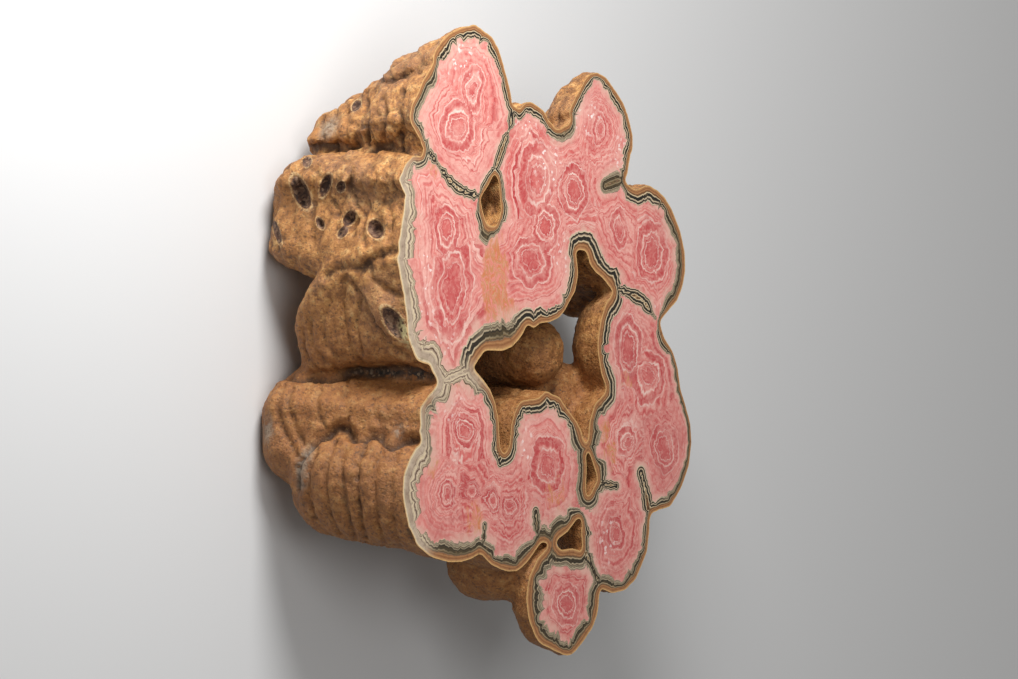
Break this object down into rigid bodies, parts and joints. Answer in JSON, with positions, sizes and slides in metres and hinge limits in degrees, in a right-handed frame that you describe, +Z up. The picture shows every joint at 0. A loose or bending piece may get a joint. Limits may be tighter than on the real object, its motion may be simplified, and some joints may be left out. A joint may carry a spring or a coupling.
{
  "type": "rhodochrosite stalactite cluster",
  "caption": "Natural cluster of rhodochrosite stalactites grown together, sawn across so that pink banded rings show, lying on its back with the cut up.",
  "frame": {"origin": "on the surface that the cluster rests on, under the middle of its box", "axes": "+Z up, out of the sawn face; +Y towards the top of the cluster as it is shown upright; +X to the right when the sawn face is looked at"},
  "size_m": [0.1586, 0.2024, 0.0585],
  "materials": {
    "rhodochrosite": "sawn face polished, pink with pale and deep rose rings in a banded rind; sides matt golden tan and lumpy"
  },
  "bodies": {
    "root": {"rhodochrosite_cluster": "rhodochrosite"}
  },
  "joints": []
}
